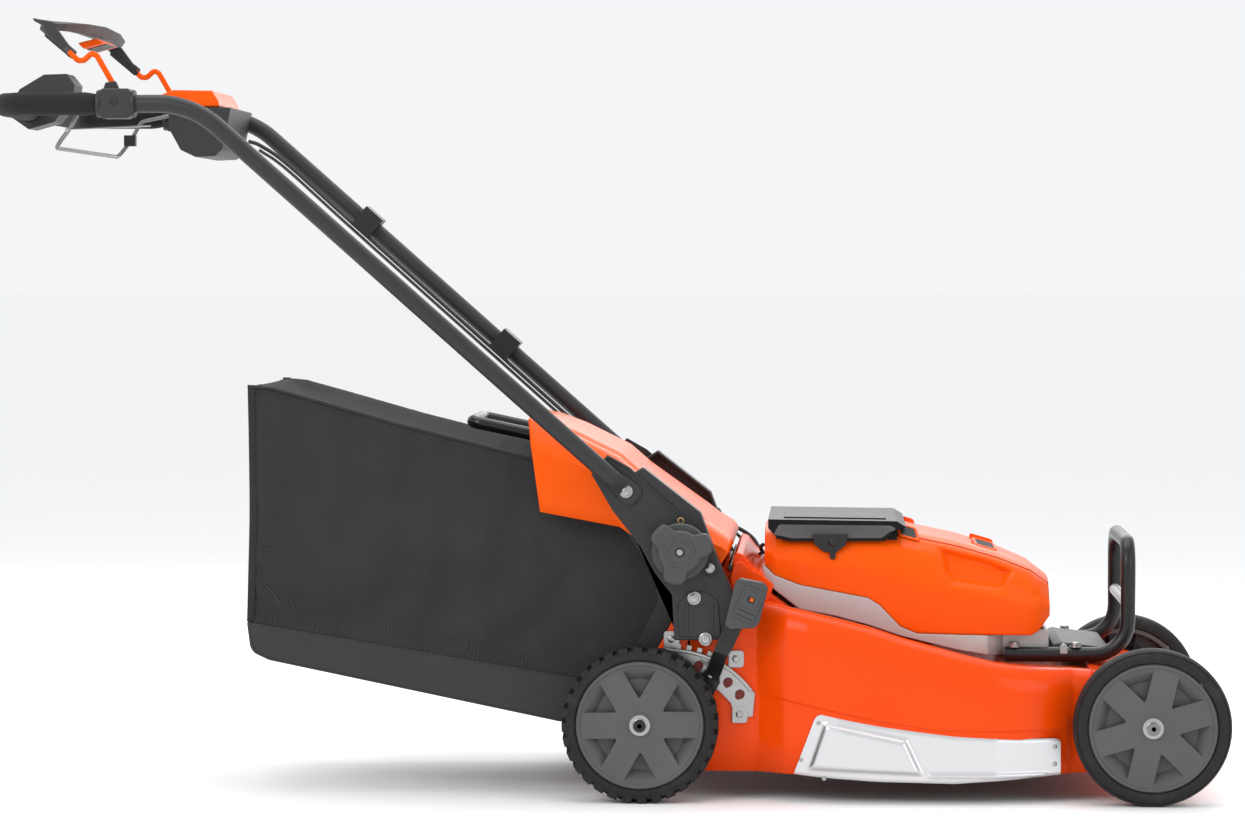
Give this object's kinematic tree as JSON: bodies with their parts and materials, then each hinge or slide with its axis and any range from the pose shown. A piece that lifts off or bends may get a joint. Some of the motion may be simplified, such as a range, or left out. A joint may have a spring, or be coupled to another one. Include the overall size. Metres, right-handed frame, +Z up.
{
  "type": "push lawn mower",
  "caption": "Battery push lawn mower with a round pressed deck, folding tube handle, rear grass bag, hinged flap, lidded motor housing and ribbed wheels.",
  "frame": {"origin": "on the ground, at the middle of the rectangle that the mower covers", "axes": "+X towards the front of the mower, +Y towards its left-hand side, +Z up"},
  "size_m": [1.676, 0.584, 1.055],
  "materials": {
    "orange_paint": "gloss",
    "orange_plastic": "gloss",
    "charcoal_paint": "satin",
    "aluminium": "satin",
    "zinc_steel": "satin",
    "dark_steel": "satin",
    "black_plastic": "matte",
    "grey_plastic": "matte",
    "rim_plastic": "matte",
    "tyre": "matte",
    "smoked_plastic": "gloss",
    "bag_fabric": "woven",
    "grip_foam": "matte"
  },
  "bodies": {
    "chassis": {"deck": "orange_paint", "side_panel_right": "aluminium", "side_panel_left": "aluminium", "motor_base_frame": "aluminium", "motor_housing": "orange_plastic", "motor_stator": "dark_steel", "battery_pack_right": "black_plastic", "battery_pack_left": "black_plastic", "control_module": "black_plastic", "front_bar": "charcoal_paint", "front_plate": "grey_plastic", "handle_bracket_right": "black_plastic", "handle_bracket_left": "black_plastic", "height_quadrant": "zinc_steel", "flap_hinge_rod": "zinc_steel", "lower_cable": "black_plastic"},
    "handle": {"handle_tube": "charcoal_paint", "strap_right": "charcoal_paint", "strap_left": "charcoal_paint", "strap_bolt_right": "zinc_steel", "strap_bolt_left": "zinc_steel", "grip_sleeve": "grip_foam", "control_box": "grey_plastic", "control_panel": "orange_plastic", "bail_clamp_right": "grey_plastic", "bail_clamp_left": "grey_plastic", "switch_pod": "grey_plastic", "cable_clip_upper": "black_plastic", "cable_clip_lower": "black_plastic", "upper_cable": "black_plastic"},
    "start_button": {"start_button": "black_plastic"},
    "stop_bail": {"bail_wire_right": "orange_paint", "bail_wire_left": "orange_paint", "bail_crossbar": "grey_plastic"},
    "bail_trigger": {"bail_trigger": "orange_plastic"},
    "drive_bail": {"drive_bail": "charcoal_paint", "drive_bail_clip": "black_plastic"},
    "rear_wheel_right": {"rear_tyre_right": "tyre", "rear_rim_right": "rim_plastic"},
    "rear_wheel_left": {"rear_tyre_left": "tyre", "rear_rim_left": "rim_plastic"},
    "front_wheel_right": {"front_tyre_right": "tyre", "front_rim_right": "rim_plastic"},
    "front_wheel_left": {"front_tyre_left": "tyre", "front_rim_left": "rim_plastic"},
    "rear_crank": {"rear_axle": "zinc_steel", "height_lever": "charcoal_paint", "lever_grip": "grey_plastic"},
    "front_crank": {"front_axle": "zinc_steel"},
    "link_rod": {"height_link_rod": "zinc_steel"},
    "cutter": {"blade": "dark_steel", "blade_hub": "zinc_steel"},
    "flap": {"rear_flap": "orange_paint"},
    "grass_bag": {"bag_fabric": "bag_fabric", "bag_base": "black_plastic", "bag_handle": "black_plastic"},
    "lid": {"battery_lid": "smoked_plastic"},
    "latch": {"lid_latch": "black_plastic"},
    "knob_right": {"fold_knob_right": "grey_plastic"},
    "knob_left": {"fold_knob_left": "grey_plastic"}
  },
  "joints": [
    {"name": "rear_wheel_right_spin", "type": "hinge", "parent": "rear_crank", "child": "rear_wheel_right", "pos_m": [0.051, -0.255, 0.105], "axis": [0, 1, 0], "continuous": true},
    {"name": "rear_wheel_left_spin", "type": "hinge", "parent": "rear_crank", "child": "rear_wheel_left", "pos_m": [0.051, 0.255, 0.105], "axis": [0, 1, 0], "continuous": true},
    {"name": "front_wheel_right_spin", "type": "hinge", "parent": "front_crank", "child": "front_wheel_right", "pos_m": [0.733, -0.255, 0.105], "axis": [0, 1, 0], "continuous": true},
    {"name": "front_wheel_left_spin", "type": "hinge", "parent": "front_crank", "child": "front_wheel_left", "pos_m": [0.733, 0.255, 0.105], "axis": [0, 1, 0], "continuous": true},
    {"name": "height_adjust", "type": "hinge", "parent": "chassis", "child": "rear_crank", "pos_m": [0.091, 0, 0.067], "axis": [0, 1, 0], "range_deg": [-11, 11]},
    {"name": "front_crank_turn", "type": "hinge", "parent": "chassis", "child": "front_crank", "pos_m": [0.773, 0, 0.067], "axis": [0, 1, 0], "range_deg": [-11, 11]},
    {"name": "link_rod_swing", "type": "hinge", "parent": "rear_crank", "child": "link_rod", "pos_m": [0.091, 0.2204, 0.1], "axis": [0, 1, 0], "range_deg": [-11, 11]},
    {"name": "handle_fold", "type": "hinge", "parent": "chassis", "child": "handle", "pos_m": [0.105, 0, 0.338], "axis": [0, 1, 0], "range_deg": [0, 110]},
    {"name": "knob_right_turn", "type": "hinge", "parent": "chassis", "child": "knob_right", "pos_m": [0.105, -0.272, 0.338], "axis": [0, -1, 0], "continuous": true},
    {"name": "knob_left_turn", "type": "hinge", "parent": "chassis", "child": "knob_left", "pos_m": [0.105, 0.272, 0.338], "axis": [0, 1, 0], "continuous": true},
    {"name": "stop_bail_press", "type": "hinge", "parent": "handle", "child": "stop_bail", "pos_m": [-0.655, 0, 0.939], "axis": [0, 1, 0], "range_deg": [-19, 0], "stiffness_Nm_per_rad": 3, "springref_deg": 20.05},
    {"name": "bail_trigger_squeeze", "type": "slide", "parent": "stop_bail", "child": "bail_trigger", "axis": [0.3401, 0, 0.9404], "range_m": [0, 0.003], "stiffness_N_per_m": 400, "springref_m": -0.002},
    {"name": "drive_bail_pull", "type": "hinge", "parent": "handle", "child": "drive_bail", "pos_m": [-0.655, 0, 0.939], "axis": [0, 1, 0], "range_deg": [0, 18], "stiffness_Nm_per_rad": 1.5, "springref_deg": -11.46},
    {"name": "start_button_press", "type": "slide", "parent": "handle", "child": "start_button", "axis": [0, 0, -1], "range_m": [0, 0.0025], "stiffness_N_per_m": 500, "springref_m": -0.002},
    {"name": "flap_lift", "type": "hinge", "parent": "chassis", "child": "flap", "pos_m": [0.17, 0, 0.3115], "axis": [0, 1, 0], "range_deg": [0, 60], "stiffness_Nm_per_rad": 1.5, "springref_deg": -28.65},
    {"name": "bag_slide", "type": "slide", "parent": "chassis", "child": "grass_bag", "axis": [-1, 0, 0], "range_m": [0, 0.5]},
    {"name": "lid_open", "type": "hinge", "parent": "chassis", "child": "lid", "pos_m": [0.313, 0.139, 0.35], "axis": [-1, 0, 0], "range_deg": [0, 95]},
    {"name": "latch_open", "type": "hinge", "parent": "lid", "child": "latch", "pos_m": [0.3045, -0.147, 0.352], "axis": [-1, 0, 0], "range_deg": [0, 35], "stiffness_Nm_per_rad": 0.05, "springref_deg": -17.19},
    {"name": "blade_spin", "type": "hinge", "parent": "chassis", "child": "cutter", "pos_m": [0.398, 0, 0.052], "axis": [0, 0, 1], "continuous": true}
  ],
  "couplings": [
    {"joint": "front_crank_turn", "follows": "height_adjust", "ratio": 1},
    {"joint": "link_rod_swing", "follows": "height_adjust", "ratio": -1}
  ]
}
